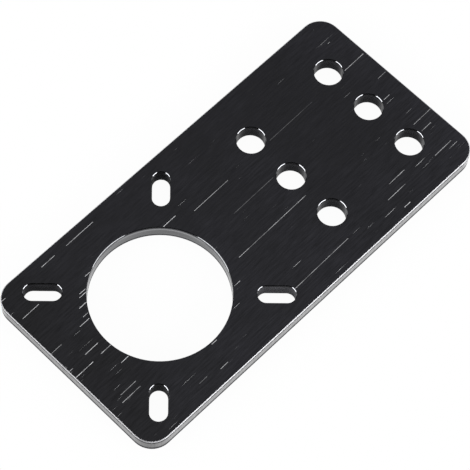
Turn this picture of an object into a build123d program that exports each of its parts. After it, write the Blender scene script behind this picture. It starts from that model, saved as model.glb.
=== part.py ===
from build123d import *
import os
from math import sqrt

# Motor mounting plate: one flat piece of aluminium that carries a small square-flanged
# motor at one end and is screwed to a frame at the other.
# Millimetres. The origin is the centre of the motor bore on the back face, +X runs
# along the plate to its frame end, and +Z points out of the front face.

# the plate itself
plate_thickness = 3.2
corner_radius = 4.0
edge_break = 0.15  # chamfer along the plate's outline, front and back
hole_break = 0.1  # chamfer on the rims of the bore, slots and holes

# motor end
bore_diameter = 25.2
smallest_motor_square = 26.0  # hole spacing of the smallest motor that fits
motor_square_range = 5.0  # how much wider the hole spacing of the largest motor is
slot_width = 3.2  # clears an M3 screw
slot_count = 4
first_slot_angle = 45.0  # the slots lie on the diagonals
slot_to_side = 2.6  # metal between a slot's outer end and the long side
slot_to_near_end = 4.15  # metal between a slot's outer end and the near end

# frame end
frame_hole_diameter = 5.3  # clears an M5 screw
frame_holes_along = 2
frame_holes_across = 3
frame_pitch_along = 20.0
frame_pitch_across = 10.0
bore_to_frame_holes = 32.5  # bore centre to the nearest frame holes
frame_holes_to_far_end = 7.95  # centres of the outermost frame holes to the far end

# A motor's screw holes are the corners of a square, so each stands half the square's
# diagonal from the bore, and the slots run from the smallest square to the largest.
largest_motor_square = smallest_motor_square + motor_square_range
slot_start = smallest_motor_square / sqrt(2)
slot_end = largest_motor_square / sqrt(2)
slot_travel = slot_end - slot_start
slot_middle = (slot_start + slot_end) / 2
slot_reach = (largest_motor_square + slot_width) / 2  # bore centre to a slot's outer end

# overall size, from what the two ends need
frame_grid_length = frame_pitch_along * (frame_holes_along - 1)
frame_grid_x = bore_to_frame_holes + frame_grid_length / 2
near_end_x = -(slot_reach + slot_to_near_end)
far_end_x = bore_to_frame_holes + frame_grid_length + frame_holes_to_far_end
plate_length = far_end_x - near_end_x
plate_width = 2 * (slot_reach + slot_to_side)
plate_centre_x = (near_end_x + far_end_x) / 2

with BuildPart() as plate:
    # blank with rounded corners
    with BuildSketch():
        with Locations((plate_centre_x, 0)):
            RectangleRounded(plate_length, plate_width, corner_radius)
    extrude(amount=plate_thickness)

    # bore for the motor's boss and shaft
    Hole(bore_diameter / 2)

    # slots for the motor's screws, pointing at the bore
    with BuildSketch():
        with PolarLocations(slot_middle, slot_count, start_angle=first_slot_angle):
            SlotCenterToCenter(slot_travel, slot_width)
    extrude(amount=plate_thickness, mode=Mode.SUBTRACT)

    # grid of holes for the frame's screws
    with Locations((frame_grid_x, 0)):
        with GridLocations(
            frame_pitch_along, frame_pitch_across, frame_holes_along, frame_holes_across
        ):
            Hole(frame_hole_diameter / 2)

    # every rim of the two flat faces is broken, the outline more than the openings
    flat_faces = plate.faces().filter_by(Axis.Z)
    opening_rims = [rim for face in flat_faces for wire in face.inner_wires() for rim in wire.edges()]
    chamfer(opening_rims, hole_break)
    flat_faces = plate.faces().filter_by(Axis.Z)
    outline_rims = [rim for face in flat_faces for rim in face.outer_wire().edges()]
    chamfer(outline_rims, edge_break)

plate.part.label = "mounting_plate"

os.makedirs("parts", exist_ok=True)
export_step(plate.part, "parts/mounting_plate.step")
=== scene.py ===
import bpy
import math
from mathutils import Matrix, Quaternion, Vector


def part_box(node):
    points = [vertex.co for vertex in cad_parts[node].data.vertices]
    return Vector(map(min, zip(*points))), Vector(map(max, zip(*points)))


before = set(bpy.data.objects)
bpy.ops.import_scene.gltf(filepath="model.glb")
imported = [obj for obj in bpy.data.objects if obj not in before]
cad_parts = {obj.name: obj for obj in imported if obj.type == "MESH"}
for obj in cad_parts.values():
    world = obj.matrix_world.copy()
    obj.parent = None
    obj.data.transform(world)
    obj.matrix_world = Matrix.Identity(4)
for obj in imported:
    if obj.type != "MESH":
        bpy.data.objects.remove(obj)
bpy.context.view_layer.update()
print("frame loaded")

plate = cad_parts["mounting_plate"]
mm = 0.001  # the frame is in metres
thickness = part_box("mounting_plate")[1][2] / mm


def aim(azimuth, elevation):
    # direction from the plate out to a lamp or the camera; azimuth 0 is the -Y side, 90 the +X side
    a, e = math.radians(azimuth), math.radians(elevation)
    return Vector((math.sin(a) * math.cos(e), -math.cos(a) * math.cos(e), math.sin(e)))


def srgb(hexValue):
    # a hex colour as the linear values that sockets take
    channels = [int(hexValue[i:i + 2], 16) / 255 for i in (1, 3, 5)]
    return [c / 12.92 if c <= 0.04045 else ((c + 0.055) / 1.055) ** 2.4 for c in channels] + [1]


def addNode(tree, kind, inputs=None, **settings):
    # one node with its settings; inputs maps a socket to a value, another node or one of its outputs
    node = tree.nodes.new(kind)
    for name, value in settings.items():
        setattr(node, name, value)
    for socket, value in (inputs or {}).items():
        if isinstance(value, bpy.types.Node):
            value = value.outputs[0]
        if isinstance(value, bpy.types.NodeSocket):
            tree.links.new(value, node.inputs[socket])
        else:
            node.inputs[socket].default_value = value
    return node


view = {
    "azimuth": -49.06,
    "elevation": 64.15,
    "distance": 388.0,  # mm from the point looked at
    "target": (17.14, -1.21),  # mm, on the front face
    "roll": 4.23,
    "lens": 170.5,  # mm, with the sensor
    "sensor": 36,
    "clip": (0.01, 100),  # m
}


def makeCamera():
    data = bpy.data.cameras.new("camera")
    camera = bpy.data.objects.new("camera", data)
    bpy.context.scene.collection.objects.link(camera)
    back = aim(view["azimuth"], view["elevation"])
    camera.location = (Vector((*view["target"], thickness)) + back * view["distance"]) * mm
    camera.rotation_mode = "QUATERNION"
    turn = Quaternion(back, math.radians(view["roll"]))
    camera.rotation_quaternion = turn @ (-back).to_track_quat("-Z", "Y")
    data.lens = view["lens"]
    data.sensor_width = view["sensor"]
    data.clip_start, data.clip_end = view["clip"]
    bpy.context.scene.camera = camera


makeCamera()
print("camera placed")

studio = {
    "stripSides": (-65, 69),  # degrees of azimuth from the camera to the middle of each strip lamp
    "stripElevation": 16.5,
    "stripTilt": 14,  # degrees, the end away from the camera hangs lower
    "stripDistance": 600,  # mm
    "stripSize": (525, 230),  # mm, length and height
    "stripBrightness": 9,  # times a white floor
    "overheadHeight": 1500,  # mm
    "overheadSize": 1800,  # mm
    "overheadBrightness": 0.8,
    "ambient": 0.3,  # the room's soft light on the plate and the floor
    "ceiling": 0.015,  # how bright the dark ceiling mirrors
    "wallTop": (3, 13),  # degrees above the floor where the pale wall fades into the ceiling
    "paper": "#f2f2f2",
    "floorSize": 40,  # m
    "floorGap": 0.02,  # mm under the plate, so that the two faces don't lie in one plane
    "floorGlow": 0.96,  # next to the plate, where its shadow shows
    "glowReach": (1.5, 12),  # mm from the plate over which the floor turns plain white
}


def placeLamp(name, width, height, brightness, position, look):
    # a rectangular lamp whose face is brightness times as bright as a white floor
    data = bpy.data.lights.new(name, "AREA")
    data.shape = "RECTANGLE"
    data.size, data.size_y = width * mm, height * mm
    data.energy = brightness * math.pi * width * height * mm * mm
    lamp = bpy.data.objects.new(name, data)
    bpy.context.scene.collection.objects.link(lamp)
    lamp.location = position * mm
    lamp.rotation_mode = "QUATERNION"
    lamp.rotation_quaternion = look
    lamp.visible_camera = False
    return lamp


def makeLamps():
    centre = Vector((*view["target"], thickness))
    for side in studio["stripSides"]:
        out = aim(view["azimuth"] + side, studio["stripElevation"])
        tilt = Quaternion(out, math.radians(math.copysign(studio["stripTilt"], -side)))
        placeLamp("strip lamp", *studio["stripSize"], studio["stripBrightness"],
                  centre + out * studio["stripDistance"], tilt @ (-out).to_track_quat("-Z", "Y"))
    size = studio["overheadSize"]
    overhead = placeLamp("overhead softbox", size, size, studio["overheadBrightness"],
                         centre + Vector((0, 0, studio["overheadHeight"])), Quaternion())
    overhead.visible_glossy = False  # it fills the room, and the polished spots mirror a dark ceiling


def seenRays(tree):
    # 1 for what the camera sees straight or in a reflection or through glass
    path = addNode(tree, "ShaderNodeLightPath")
    some = addNode(tree, "ShaderNodeMath",
                   {0: path.outputs["Is Camera Ray"], 1: path.outputs["Is Glossy Ray"]}, operation="ADD")
    return addNode(tree, "ShaderNodeMath", {0: some, 1: path.outputs["Is Transmission Ray"]},
                   operation="ADD", use_clamp=True)


def makeWorld():
    world = bpy.data.worlds.new("room")
    world.use_nodes = True
    world.cycles.sampling_method = "NONE"  # so that gloss only meets the room through its own rays
    bpy.context.scene.world = world
    tree = world.node_tree
    tree.nodes.clear()
    where = addNode(tree, "ShaderNodeTexCoord")
    split = addNode(tree, "ShaderNodeSeparateXYZ", {0: where.outputs["Generated"]})
    low, high = (math.sin(math.radians(a)) for a in studio["wallTop"])
    wall = addNode(tree, "ShaderNodeMapRange",
                   {"Value": split.outputs["Z"], "From Min": low, "From Max": high,
                    "To Min": 1, "To Max": studio["ceiling"]}, interpolation_type="SMOOTHSTEP")
    path = addNode(tree, "ShaderNodeLightPath")
    # white where the camera looks past the floor, and the wall where the plate mirrors the room
    bright = addNode(tree, "ShaderNodeMath", {0: path.outputs["Is Camera Ray"], 1: wall},
                     operation="MAXIMUM")
    seen = addNode(tree, "ShaderNodeBackground", {"Color": (1, 1, 1, 1), "Strength": bright})
    light = addNode(tree, "ShaderNodeBackground", {"Color": (1, 1, 1, 1), "Strength": studio["ambient"]})
    mix = addNode(tree, "ShaderNodeMixShader", {0: seenRays(tree), 1: light, 2: seen})
    addNode(tree, "ShaderNodeOutputWorld", {"Surface": mix})


def makeFloor():
    bpy.ops.object.select_all(action="DESELECT")
    bpy.ops.mesh.primitive_plane_add(size=studio["floorSize"], location=(0, 0, -studio["floorGap"] * mm))
    floor = bpy.context.object
    floor.name = "floor"
    paper = bpy.data.materials.new("white paper")
    paper.use_nodes = True
    tree = paper.node_tree
    tree.nodes.clear()
    matt = addNode(tree, "ShaderNodeBsdfDiffuse", {"Color": srgb(studio["paper"])})
    glow = addNode(tree, "ShaderNodeEmission", {"Color": (1, 1, 1, 1), "Strength": 1})
    # how far a point of the floor is from the plate's box
    where = addNode(tree, "ShaderNodeTexCoord")
    low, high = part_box("mounting_plate")
    middle = [(a + b) / 2 for a, b in zip(low, high)]
    half = [(b - a) / 2 for a, b in zip(low, high)]
    away = addNode(tree, "ShaderNodeVectorMath", {0: where.outputs["Object"], 1: middle},
                   operation="SUBTRACT")
    away = addNode(tree, "ShaderNodeVectorMath", {0: away}, operation="ABSOLUTE")
    away = addNode(tree, "ShaderNodeVectorMath", {0: away, 1: half}, operation="SUBTRACT")
    away = addNode(tree, "ShaderNodeVectorMath", {0: away, 1: (0, 0, 0)}, operation="MAXIMUM")
    away = addNode(tree, "ShaderNodeVectorMath", {0: away}, operation="LENGTH")
    near, far = (a * mm for a in studio["glowReach"])
    share = addNode(tree, "ShaderNodeMapRange",
                    {"Value": away.outputs["Value"], "From Min": near, "From Max": far,
                     "To Min": studio["floorGlow"], "To Max": 1})
    share = addNode(tree, "ShaderNodeMath", {0: seenRays(tree), 1: share}, operation="MULTIPLY")
    mix = addNode(tree, "ShaderNodeMixShader", {0: share, 1: matt, 2: glow})
    # from below the paper is clear, so that the plate's back can be looked at
    side = addNode(tree, "ShaderNodeNewGeometry")
    clear = addNode(tree, "ShaderNodeBsdfTransparent")
    mix = addNode(tree, "ShaderNodeMixShader", {0: side.outputs["Backfacing"], 1: mix, 2: clear})
    addNode(tree, "ShaderNodeOutputMaterial", {"Surface": mix})
    floor.data.materials.append(paper)


makeLamps()
makeWorld()
makeFloor()
print("studio made")

# where the plate's surfaces and openings are, in mm, as the drawing has them
layout = {
    "boreRadius": 12.6,
    "frameMiddle": 42.5,
    "frameHalfPitch": (10, 5),  # along the plate, and across it
    "frameRadius": 2.65,
    "slotReach": 20.15,  # from the bore's centre to the middle of a slot, on the diagonal
    "slotHalfTravel": 1.77,
    "slotRadius": 1.6,
    "rimReach": 0.45,  # how far an opening's finish reaches past its wall
    "faceLevel": 0.9,  # upright part of the normal, above which a surface is one of the two flat faces
    "rimLevel": 0.3,  # and above which it is a chamfer
}


def readPoint(tree):
    # a point's place in mm, which way its surface faces, and how aslant it is seen
    where = addNode(tree, "ShaderNodeTexCoord")
    place = addNode(tree, "ShaderNodeVectorMath",
                    {0: where.outputs["Object"], "Scale": 1 / mm}, operation="SCALE")
    x, y, z = addNode(tree, "ShaderNodeSeparateXYZ", {0: place}).outputs
    geometry = addNode(tree, "ShaderNodeNewGeometry")
    lean = addNode(tree, "ShaderNodeSeparateXYZ", {0: geometry.outputs["True Normal"]})
    glance = addNode(tree, "ShaderNodeLayerWeight", {"Blend": 0.5})
    return {"place": place, "x": x, "y": y, "z": z, "lean": lean, "glance": glance.outputs["Facing"]}


def findSurfaces(tree, point):
    # a mask for each kind of surface; what is in none of them is the outer edge
    x, y = point["x"], point["y"]
    level = addNode(tree, "ShaderNodeMath", {0: point["lean"].outputs["Z"]}, operation="ABSOLUTE")
    isFace = addNode(tree, "ShaderNodeMath", {0: level, 1: layout["faceLevel"]}, operation="GREATER_THAN")
    notWall = addNode(tree, "ShaderNodeMath", {0: level, 1: layout["rimLevel"]}, operation="GREATER_THAN")
    isRim = addNode(tree, "ShaderNodeMath", {0: notWall, 1: isFace}, operation="SUBTRACT")

    flat = addNode(tree, "ShaderNodeCombineXYZ", {0: x, 1: y})
    fromBore = addNode(tree, "ShaderNodeVectorMath", {0: flat}, operation="LENGTH")

    # the frame holes mirror into one, and the middle row across the plate needs one more fold
    fromMiddle = addNode(tree, "ShaderNodeMath", {0: x, 1: layout["frameMiddle"]}, operation="SUBTRACT")
    sides = []
    for line, half in zip((fromMiddle, y), layout["frameHalfPitch"]):
        folded = addNode(tree, "ShaderNodeMath", {0: line}, operation="ABSOLUTE")
        shifted = addNode(tree, "ShaderNodeMath", {0: folded, 1: half}, operation="SUBTRACT")
        sides.append(addNode(tree, "ShaderNodeMath", {0: shifted}, operation="ABSOLUTE"))
    columns, rows = sides
    rows = addNode(tree, "ShaderNodeMath", {0: rows, 1: layout["frameHalfPitch"][1]}, operation="SUBTRACT")
    corner = addNode(tree, "ShaderNodeCombineXYZ", {0: columns, 1: rows})
    fromHole = addNode(tree, "ShaderNodeVectorMath", {0: corner}, operation="LENGTH")

    # the slots mirror into one on the diagonal, with round ends
    awayX = addNode(tree, "ShaderNodeMath", {0: x}, operation="ABSOLUTE")
    awayY = addNode(tree, "ShaderNodeMath", {0: y}, operation="ABSOLUTE")
    diagonal = addNode(tree, "ShaderNodeMath", {0: awayX, 1: awayY}, operation="ADD")
    along = addNode(tree, "ShaderNodeMath", {0: diagonal, 1: math.sqrt(0.5), 2: -layout["slotReach"]},
                    operation="MULTIPLY_ADD")
    pastEnd = addNode(tree, "ShaderNodeMath", {0: along}, operation="ABSOLUTE")
    pastEnd = addNode(tree, "ShaderNodeMath", {0: pastEnd, 1: layout["slotHalfTravel"]},
                      operation="SUBTRACT")
    pastEnd = addNode(tree, "ShaderNodeMath", {0: pastEnd, 1: 0}, operation="MAXIMUM")
    across = addNode(tree, "ShaderNodeMath", {0: awayX, 1: awayY}, operation="SUBTRACT")
    across = addNode(tree, "ShaderNodeMath", {0: across, 1: math.sqrt(0.5)}, operation="MULTIPLY")
    slotCorner = addNode(tree, "ShaderNodeCombineXYZ", {0: pastEnd, 1: across})
    fromSlot = addNode(tree, "ShaderNodeVectorMath", {0: slotCorner}, operation="LENGTH")

    isBore, isHole, isSlot = (
        addNode(tree, "ShaderNodeMath", {0: away.outputs["Value"], 1: layout[radius] + layout["rimReach"]},
                operation="LESS_THAN")
        for away, radius in ((fromBore, "boreRadius"), (fromHole, "frameRadius"), (fromSlot, "slotRadius")))
    isDrilled = addNode(tree, "ShaderNodeMath", {0: isHole, 1: isSlot}, operation="MAXIMUM")
    return isFace, isRim, isBore, isSlot, isDrilled


# the two flat faces
face = {
    "film": "#1d1d1f",  # the dyed film
    "patches": "#27272c",  # a little lighter and bluer, in soft patches, off the motor end, at the frame end and on the near side
    "bareMetalAndGlint": "#ecedef",  # bare metal in the scratches, drawn as bright as their glint, and the painted highlight of the glints
    "roughness": 0.6,
    "patchSize": 9,  # mm
    "patchNoise": (0.4, 0.7),  # from no patch to a full one
    "motorEnd": (-9, -18),  # mm along the plate, where this end's look comes in
    "frameEnd": (50, 60),
    "nearSide": (-6, -17),  # mm across the plate
    "paler": (0.35, 0.3, 0.3, 0.15),  # off the motor end, in patches, at the frame end, on the near side
    "worn": 0.8,  # how much more the ends and the near side are worn
    "grainPitch": 0.3,  # mm between the brush lines; real ones are nearer 0.05
    "grainLength": 3.5,  # mm
    "grainTurn": 1,  # degrees between the brush lines and the plate's long side
    "grainNoise": (0.25, 0.75),
    "grainDepth": (0.25, 0.42),  # how much a line darkens or lightens the film, least and most worn
    "glintPitch": 0.09,  # mm across the grain
    "glintLength": 6,  # mm
    "glintNoise": (0.796, 0.86),
    "glintStrength": 0.9,  # how far the brightest painted glint goes towards that light colour
    "glintWear": 0.03,  # how much sooner glints come where the film is worn
    "scratchWidth": 0.085,  # mm
    "dashLength": 2,  # mm
    "dashNoise": (0.36, 0.56),
    "dashGap": 0.35,  # what is left of a scratch between two dashes
}
# the longest scratches, all along the grain: start, end and height in mm, and how much of the light colour
# shows
scratches = [
    (-20.5, -19.2, 18.2, 0.7), (-10.8, -7.7, 18, 0.8), (-5, 1.5, 17.9, 0.6), (-19.8, -16, 13.3, 0.7),
    (57, 57.5, 13.2, 1), (-6.8, -5.3, 11.4, 0.9), (-9.8, -8.4, 9.7, 0.7), (-10.3, -8.6, 9.2, 0.9),
    (9.5, 12.5, 8.5, 0.8), (-11.7, -10, 7.8, 0.9), (55, 60, 7.2, 0.6), (35, 46, 7, 0.12),
    (15.5, 24, 6.8, 0.5), (-12.4, -11.2, 6.2, 0.7), (-14, -11.8, 5.3, 0.7), (-21, -18.5, 5.2, 0.5),
    (58, 60, 1.8, 0.5), (20, 30, 1.5, 0.15), (-17, -14, 1, 0.7), (-21, -20.2, 0.7, 0.6),
    (-15, -12.7, -0.8, 0.8), (-21, -17, -0.9, 0.9), (55.5, 57, -1.9, 0.6), (-13.8, -12, -4.4, 0.8),
    (14.5, 31.5, -5, 0.55), (10, 11.4, -8.2, 0.7), (-18, -14.4, -8.5, 0.5), (55.5, 60, -9.1, 0.4),
    (-18.8, -14.5, -9.7, 0.5), (55.5, 58, -11, 0.5), (-0.6, 0.6, -13, 0.7), (43.5, 47.5, -14, 0.6),
    (17, 30.5, -16, 0.5), (41, 45.5, -16, 0.6), (53.5, 57.8, -16, 0.6), (-7.2, -5.4, -16.5, 0.5),
    (-2.8, -1, -17.2, 0.5), (42, 43.5, -19, 1),
]


def brushFaces(tree, point):
    # brush lines along the plate over broad soft patches, with painted glints, and scratches drawn in the
    # same light colour
    turn = math.radians(face["grainTurn"])
    brushed = addNode(tree, "ShaderNodeVectorRotate", {"Vector": point["place"], "Angle": -turn},
                      rotation_type="Z_AXIS")
    patches = addNode(tree, "ShaderNodeTexNoise",
                      {"Vector": brushed, "Scale": 1 / face["patchSize"], "Detail": 2, "Roughness": 0.5})
    low, high = face["patchNoise"]
    patchShare = addNode(tree, "ShaderNodeMapRange", {"Value": patches, "From Min": low, "From Max": high})
    motorEnd, frameEnd, nearSide = (
        addNode(tree, "ShaderNodeMapRange",
                {"Value": point[axis], "From Min": face[region][0], "From Max": face[region][1]})
        for axis, region in (("x", "motorEnd"), ("x", "frameEnd"), ("y", "nearSide")))

    middlePaler, *shares = face["paler"]
    paler = addNode(tree, "ShaderNodeMapRange", {"Value": motorEnd, "To Min": middlePaler, "To Max": 0})
    for region, share in zip((patchShare, frameEnd, nearSide), shares):
        paler = addNode(tree, "ShaderNodeMath", {0: region, 1: share, 2: paler}, operation="MULTIPLY_ADD")
    film = addNode(tree, "ShaderNodeMix", {0: paler, 6: srgb(face["film"]), 7: srgb(face["patches"])},
                   data_type="RGBA").outputs[2]
    worn = patchShare
    for region in (motorEnd, frameEnd, nearSide):
        worn = addNode(tree, "ShaderNodeMath", {0: region, 1: face["worn"], 2: worn},
                       operation="MULTIPLY_ADD")

    lineScale = (1 / face["grainLength"], 1 / face["grainPitch"], 1)
    lines = addNode(tree, "ShaderNodeVectorMath", {0: brushed, 1: lineScale}, operation="MULTIPLY")
    grain = addNode(tree, "ShaderNodeTexNoise",
                    {"Vector": lines, "Scale": 1, "Detail": 3, "Roughness": 0.7})
    fresh, spent = face["grainDepth"]
    depth = addNode(tree, "ShaderNodeMapRange", {"Value": worn, "To Min": fresh, "To Max": spent})
    darkest = addNode(tree, "ShaderNodeMath", {0: 1, 1: depth}, operation="SUBTRACT")
    lightest = addNode(tree, "ShaderNodeMath", {0: 1, 1: depth}, operation="ADD")
    low, high = face["grainNoise"]
    shade = addNode(tree, "ShaderNodeMapRange",
                    {"Value": grain, "From Min": low, "From Max": high,
                     "To Min": darkest, "To Max": lightest})
    film = addNode(tree, "ShaderNodeVectorMath", {0: film, "Scale": shade}, operation="SCALE")

    # glints: short painted highlights along the grain, thicker where the film is worn
    glintScale = (1 / face["glintLength"], 1 / face["glintPitch"], 1)
    spots = addNode(tree, "ShaderNodeVectorMath", {0: brushed, 1: glintScale}, operation="MULTIPLY")
    spots = addNode(tree, "ShaderNodeTexNoise", {"Vector": spots, "Scale": 1, "Detail": 1})
    spots = addNode(tree, "ShaderNodeMath", {0: worn, 1: face["glintWear"], 2: spots},
                    operation="MULTIPLY_ADD")
    low, high = face["glintNoise"]
    glints = addNode(tree, "ShaderNodeMapRange",
                     {"Value": spots, "From Min": low, "From Max": high, "To Max": face["glintStrength"]})

    # scratches, each a thin line broken up along its length
    brushedAxes = addNode(tree, "ShaderNodeSeparateXYZ", {0: brushed})
    marks = 0.0
    for start, end, height, share in scratches:
        near = addNode(tree, "ShaderNodeMath",
                       {0: brushedAxes.outputs["Y"], 1: height, 2: face["scratchWidth"] / 2},
                       operation="COMPARE")
        within = addNode(tree, "ShaderNodeMath",
                         {0: brushedAxes.outputs["X"], 1: (start + end) / 2, 2: (end - start) / 2},
                         operation="COMPARE")
        mark = addNode(tree, "ShaderNodeMath", {0: near, 1: within}, operation="MULTIPLY")
        marks = addNode(tree, "ShaderNodeMath", {0: mark, 1: share, 2: marks}, operation="MULTIPLY_ADD")
    broken = addNode(tree, "ShaderNodeTexNoise",
                     {"Vector": brushed, "Scale": 1 / face["dashLength"], "Detail": 2, "Roughness": 0.6})
    low, high = face["dashNoise"]
    dashes = addNode(tree, "ShaderNodeMapRange",
                     {"Value": broken, "From Min": low, "From Max": high, "To Min": face["dashGap"]})
    marks = addNode(tree, "ShaderNodeMath", {0: marks, 1: dashes}, operation="MULTIPLY")
    # scratches and glints share one light colour: bare metal in the scratches, a painted highlight in the
    # glints
    scratchesAndGlints = addNode(tree, "ShaderNodeMath", {0: marks, 1: glints}, operation="MAXIMUM", use_clamp=True)
    colour = addNode(tree, "ShaderNodeMix", {0: scratchesAndGlints, 6: film, 7: srgb(face["bareMetalAndGlint"])},
                     data_type="RGBA").outputs[2]
    return colour, scratchesAndGlints, grain


# the milled outer edge
edge = {
    "film": "#2a2a2c",
    "markPitch": 0.3,  # mm between the cutter's marks, coarser than real ones
    "markStretch": 0.15,  # of the pattern per mm of height, so that a mark runs right up the edge
    "markNoise": (0.3, 0.7),
    "shine": (0.5, 1.1),  # in the dullest and the clearest marks
    "foot": (0.55, 1.1),  # mm above the back face, where the edge is made dull and dark: painted shade, the floor's shadow mirrored at the wall's foot
    "underRim": (0.75, 0.6),  # mm below the front face, where a dull dark line starts: painted shade under the rim
    "underRimDull": 0.7,
    "endwise": (0.4, 0.7),  # how far the surface faces along the plate, from the long sides to the ends
    "endShine": 0.6,
}


def millEdge(tree, point):
    # fine upright cutter marks, duller on the plate's two ends, with painted shade in a dull dark foot and a
    # dull dark line under the front rim
    markScale = (1 / edge["markPitch"], 1 / edge["markPitch"], edge["markStretch"])
    marks = addNode(tree, "ShaderNodeVectorMath", {0: point["place"], 1: markScale}, operation="MULTIPLY")
    marks = addNode(tree, "ShaderNodeTexNoise",
                    {"Vector": marks, "Scale": 1, "Detail": 2, "Roughness": 0.7})
    low, high = edge["markNoise"]
    dullest, clearest = edge["shine"]
    film = addNode(tree, "ShaderNodeMapRange",
                   {"Value": marks, "From Min": low, "From Max": high, "To Min": dullest, "To Max": clearest})
    low, high = edge["foot"]
    foot = addNode(tree, "ShaderNodeMapRange",
                   {"Value": point["z"], "From Min": low, "From Max": high, "To Min": 1, "To Max": 0})
    low, high = (thickness - depth for depth in edge["underRim"])
    underRim = addNode(tree, "ShaderNodeMapRange",
                       {"Value": point["z"], "From Min": low, "From Max": high,
                        "To Max": edge["underRimDull"]})
    dull = addNode(tree, "ShaderNodeMath", {0: foot, 1: underRim}, operation="MAXIMUM")
    clear = addNode(tree, "ShaderNodeMath", {0: 1, 1: dull}, operation="SUBTRACT")
    endwise = addNode(tree, "ShaderNodeMath", {0: point["lean"].outputs["X"]}, operation="ABSOLUTE")
    low, high = edge["endwise"]
    endShine = addNode(tree, "ShaderNodeMapRange",
                       {"Value": endwise, "From Min": low, "From Max": high,
                        "To Min": 1, "To Max": edge["endShine"]})
    for share in (endShine, clear):
        film = addNode(tree, "ShaderNodeMath", {0: film, 1: share}, operation="MULTIPLY")
    return film, dull, endShine, marks


# the bored wall
bore = {
    "film": "#2c2d31",
    # a lighter band, a painted highlight for the bright line the wall mirrors
    "brightLine": "#4c4d51",
    "ringPitch": 0.3,  # mm between the boring tool's rings, coarser than real ones
    "ringStretch": 0.06,  # of the pattern per mm round the bore, so that a ring runs on
    "ringNoise": (0.3, 0.7),
    "shine": (0.25, 0.8),  # in the dullest and the clearest rings
    "shineFade": (0.6, 0.8),  # how aslant the wall is seen, where the rings lose their shine
    "shineLeft": 0.3,
    "aslant": (0.62, 0.67),  # how aslant, where the turned line goes dull and the lip shines
    "brightBand": (0.84, 0.22),  # the painted highlight band: mm below the front face, and half its height
    "gapBand": (0.66, 0.2),  # where the gloss breaks off under the rim, seen aslant
    "lip": (0.5, 0.4),  # mm below the front face, where the wall is made dull and dark: painted shade under the rim
    "foot": (0.3, 0.75),  # mm above the back face, where the wall is made dull and dark: painted shade at its foot
}


def boreWall(tree, point):
    # fine rings round the bore, one lighter band that is a painted highlight, and a thin lip that shines only
    # aslant; the lip and the foot are made dull and dark, painted shade
    ringScale = (bore["ringStretch"], bore["ringStretch"], 1 / bore["ringPitch"])
    rings = addNode(tree, "ShaderNodeVectorMath", {0: point["place"], 1: ringScale}, operation="MULTIPLY")
    rings = addNode(tree, "ShaderNodeTexNoise",
                    {"Vector": rings, "Scale": 1, "Detail": 2, "Roughness": 0.7})
    low, high = bore["ringNoise"]
    dullest, clearest = bore["shine"]
    film = addNode(tree, "ShaderNodeMapRange",
                   {"Value": rings, "From Min": low, "From Max": high, "To Min": dullest, "To Max": clearest})
    low, high = bore["shineFade"]
    fade = addNode(tree, "ShaderNodeMapRange",
                   {"Value": point["glance"], "From Min": low, "From Max": high,
                    "To Min": 1, "To Max": bore["shineLeft"]})
    film = addNode(tree, "ShaderNodeMath", {0: film, 1: fade}, operation="MULTIPLY")
    low, high = bore["aslant"]
    aslant = addNode(tree, "ShaderNodeMapRange",
                     {"Value": point["glance"], "From Min": low, "From Max": high})
    straight = addNode(tree, "ShaderNodeMath", {0: 1, 1: aslant}, operation="SUBTRACT")

    isBrightBand, isGap = (
        addNode(tree, "ShaderNodeMath", {0: point["z"], 1: thickness - depth, 2: half}, operation="COMPARE")
        for depth, half in (bore["brightBand"], bore["gapBand"]))
    isGap = addNode(tree, "ShaderNodeMath", {0: isGap, 1: aslant}, operation="MULTIPLY")
    low, high = (thickness - depth for depth in bore["lip"])
    isLip = addNode(tree, "ShaderNodeMapRange", {"Value": point["z"], "From Min": low, "From Max": high})
    low, high = bore["foot"]
    foot = addNode(tree, "ShaderNodeMapRange",
                   {"Value": point["z"], "From Min": low, "From Max": high, "To Min": 1, "To Max": 0})
    for mask, shine in ((isBrightBand, straight), (isGap, 0.0), (isLip, aslant), (foot, 0.0)):
        film = addNode(tree, "ShaderNodeMix", {0: mask, 2: film, 3: shine})
    dull = addNode(tree, "ShaderNodeMath", {0: foot, 1: isLip}, operation="MAXIMUM")
    matt = addNode(tree, "ShaderNodeMath", {0: dull, 1: isGap}, operation="MAXIMUM")
    colour = addNode(tree, "ShaderNodeMix",
                     {0: isBrightBand, 6: srgb(bore["film"]), 7: srgb(bore["brightLine"])},
                     data_type="RGBA").outputs[2]
    return colour, film, dull, matt, rings


# the drilled and slotted walls: a dark matt metal, painted shade for the shade inside the small openings
drilled = {
    # dark: painted shade, in the openings and in the dull bands of the edge and the bore
    "metal": "#505053",
    "roughness": 0.9,
    "lip": (0.7, 0.35),  # mm below the front face, where the wall darkens towards its rim: painted shade
    "lipShade": 0.35,
    "slotPlace": (10, 22),  # mm along the plate less mm across it, from the other slots to the pale one
    "slotShade": (0.75, 2),
    "shineFrom": (0.56, 0.76),  # how aslant the wall is seen, where it starts to shine
    "shineTo": (0.8, 0.94),  # and where that ends
    "shine": 0.4,
    "slotShine": 0.2,  # of a round hole's
}


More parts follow.
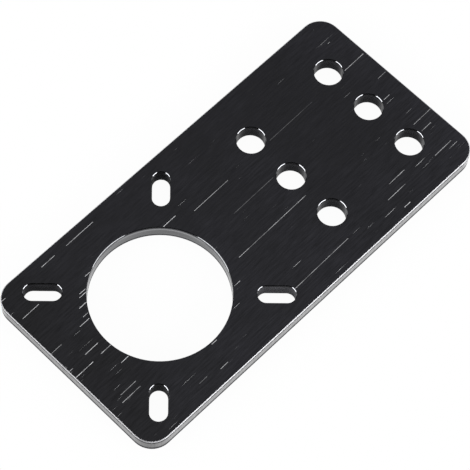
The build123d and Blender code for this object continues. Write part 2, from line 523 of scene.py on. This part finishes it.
def drillWalls(tree, point, isSlot):
    # matt and dark, painted shade; darker still towards the rim, painted shade, and in the slots, with one
    # slot painted paler; the round ones shine a little at a glance
    low, high = (thickness - depth for depth in drilled["lip"])
    shade = addNode(tree, "ShaderNodeMapRange",
                    {"Value": point["z"], "From Min": low, "From Max": high,
                     "To Min": 1, "To Max": drilled["lipShade"]})
    # one slot's walls are painted paler than the other three's: painted light, where more light fell
    place = addNode(tree, "ShaderNodeMath", {0: point["x"], 1: point["y"]}, operation="SUBTRACT")
    low, high = drilled["slotPlace"]
    darker, paler = drilled["slotShade"]
    slotShade = addNode(tree, "ShaderNodeMapRange",
                        {"Value": place, "From Min": low, "From Max": high,
                         "To Min": darker, "To Max": paler})
    slotShade = addNode(tree, "ShaderNodeMix", {0: isSlot, 2: 1.0, 3: slotShade})
    shade = addNode(tree, "ShaderNodeMath", {0: shade, 1: slotShade}, operation="MULTIPLY")
    colour = addNode(tree, "ShaderNodeVectorMath", {0: srgb(drilled["metal"])[:3], "Scale": shade},
                     operation="SCALE")

    low, high = drilled["shineFrom"]
    film = addNode(tree, "ShaderNodeMapRange",
                   {"Value": point["glance"], "From Min": low, "From Max": high, "To Max": drilled["shine"]})
    low, high = drilled["shineTo"]
    grazing = addNode(tree, "ShaderNodeMapRange",
                      {"Value": point["glance"], "From Min": low, "From Max": high,
                       "To Min": 1, "To Max": 0})
    inSlot = addNode(tree, "ShaderNodeMapRange",
                     {"Value": isSlot, "To Min": 1, "To Max": drilled["slotShine"]})
    for share in (grazing, inSlot):
        film = addNode(tree, "ShaderNodeMath", {0: film, 1: share}, operation="MULTIPLY")
    return colour, film


# chamfers: a light colour that paints the bright line the chamfers mirror, a painted highlight; on the
# openings a bright metal that mirrors the lamps, kept to the chamfer's lower part
rim = {
    "milled": "#b6b6b9",
    "bored": "#616264",
    "drilled": "#87888b",
    "lit": (0.06, 0.03),  # mm below the front face, above which the openings' chamfers lose their bright colour, so that their highlight line sits lower
    "unlit": 0.15,
    "nicksPerMm": 2.2,
    "nickNoise": (0.3, 0.65),
    "nickShade": (0.85, 1.1),
    "metallic": (0.1, 1),  # on the outline, where film is left, and on the openings
    "roughness": (0.3, 0.1),
}


def breakRims(tree, point, isBore, isDrilled, endShine):
    # a painted highlight on the chamfers, nicked here and there, and dimmer at the plate's ends: painted
    # shade
    low, high = (thickness - depth for depth in rim["lit"])
    lit = addNode(tree, "ShaderNodeMapRange",
                  {"Value": point["z"], "From Min": low, "From Max": high,
                   "To Min": 1, "To Max": rim["unlit"]})
    # the outline's painted highlight, dimmer at the plate's two ends: painted shade, as the ends catch less
    # of the lamps
    colour = addNode(tree, "ShaderNodeVectorMath", {0: srgb(rim["milled"])[:3], "Scale": endShine},
                     operation="SCALE")
    for mask, tone in ((isBore, "bored"), (isDrilled, "drilled")):
        litColour = addNode(tree, "ShaderNodeVectorMath", {0: srgb(rim[tone])[:3], "Scale": lit},
                            operation="SCALE")
        colour = addNode(tree, "ShaderNodeMix", {0: mask, 6: colour, 7: litColour},
                         data_type="RGBA").outputs[2]
    nicks = addNode(tree, "ShaderNodeTexNoise",
                    {"Vector": point["place"], "Scale": rim["nicksPerMm"], "Detail": 3, "Roughness": 0.7})
    low, high = rim["nickNoise"]
    darkest, lightest = rim["nickShade"]
    shade = addNode(tree, "ShaderNodeMapRange",
                    {"Value": nicks, "From Min": low, "From Max": high,
                     "To Min": darkest, "To Max": lightest})
    colour = addNode(tree, "ShaderNodeVectorMath", {0: colour, "Scale": shade}, operation="SCALE")
    isOpening = addNode(tree, "ShaderNodeMath", {0: isBore, 1: isDrilled}, operation="MAXIMUM")
    metallic, roughness = (
        addNode(tree, "ShaderNodeMapRange", {"Value": isOpening, "To Min": outline, "To Max": opening})
        for outline, opening in (rim["metallic"], rim["roughness"]))
    return colour, metallic, roughness


# what all the plate's surfaces share
skin = {
    "wallRoughness": (0.18, 0.7),  # on the edge and in the bore, from a clear film to a dull one
    "coatRoughness": 0.12,
    "specularTint": (0.5, 0.5, 0.5, 1),  # the dye takes half of what the film mirrors
    "relief": 0.02,  # mm
    "reliefStrength": 0.4,
    "scratchDepth": 2,  # times the brush lines
}


def makePlateFinish():
    # black anodised aluminium, brushed along the plate first: a satin near-black with painted glints, and at
    # the milled edges a film smooth enough to mirror the floor
    metal = bpy.data.materials.new("black anodised aluminium")
    metal.use_nodes = True
    tree = metal.node_tree
    tree.nodes.clear()
    point = readPoint(tree)
    isFace, isRim, isBore, isSlot, isDrilled = findSurfaces(tree, point)
    faceColour, scratchesAndGlints, grain = brushFaces(tree, point)
    edgeFilm, edgeDull, endShine, millMarks = millEdge(tree, point)
    boreColour, boreFilm, boreDull, boreMatt, rings = boreWall(tree, point)
    drilledColour, drilledFilm = drillWalls(tree, point, isSlot)
    rimColour, rimMetallic, rimRoughness = breakRims(tree, point, isBore, isDrilled, endShine)

    # the edge and the bore: where a wall is dull it is as matt and dark as a drilled one, painted shade at
    # its foot and under its rim
    dull, matt, coat = (
        addNode(tree, "ShaderNodeMix", {0: isBore, 2: onEdge, 3: inBore})
        for onEdge, inBore in ((edgeDull, boreDull), (edgeDull, boreMatt), (edgeFilm, boreFilm)))
    colour = srgb(edge["film"])
    for mask, paint in ((isBore, boreColour), (dull, srgb(drilled["metal"]))):
        colour = addNode(tree, "ShaderNodeMix", {0: mask, 6: colour, 7: paint}, data_type="RGBA").outputs[2]
    clear, rough = skin["wallRoughness"]
    roughness = addNode(tree, "ShaderNodeMapRange", {"Value": matt, "To Min": clear, "To Max": rough})
    metallic = dull

    # colour, metal, roughness and clear film of the other surfaces, laid one over the other
    for mask, paint, metalShare, rough, film in (
        (isDrilled, drilledColour, 1.0, drilled["roughness"], drilledFilm),
        (isRim, rimColour, rimMetallic, rimRoughness, 0.0),
        (isFace, faceColour, 0.0, face["roughness"], 0.0),
    ):
        colour = addNode(tree, "ShaderNodeMix", {0: mask, 6: colour, 7: paint}, data_type="RGBA").outputs[2]
        metallic, roughness, coat = (
            addNode(tree, "ShaderNodeMix", {0: mask, 2: below, 3: above})
            for below, above in ((metallic, metalShare), (roughness, rough), (coat, film)))

    # relief: brush lines and scratches on the faces, the cutter's marks on the edge, rings in the openings,
    # and none on the rims
    faceHeight = addNode(tree, "ShaderNodeMath", {0: scratchesAndGlints, 1: -skin["scratchDepth"], 2: grain},
                         operation="MULTIPLY_ADD")
    height = millMarks
    for mask, relief in ((isBore, rings), (isDrilled, rings), (isRim, 0.5), (isFace, faceHeight)):
        height = addNode(tree, "ShaderNodeMix", {0: mask, 2: height, 3: relief})
    bump = addNode(tree, "ShaderNodeBump",
                   {"Strength": skin["reliefStrength"], "Distance": skin["relief"] * mm, "Height": height})
    surface = addNode(tree, "ShaderNodeBsdfPrincipled",
                      {"Base Color": colour, "Metallic": metallic, "Roughness": roughness,
                       "Coat Weight": coat, "Coat Roughness": skin["coatRoughness"],
                       "Specular Tint": skin["specularTint"], "Normal": bump})
    addNode(tree, "ShaderNodeOutputMaterial", {"Surface": surface})
    plate.data.materials.clear()
    plate.data.materials.append(metal)


makePlateFinish()
print("plate finished")

bpy.context.scene.view_settings.view_transform = "Standard"
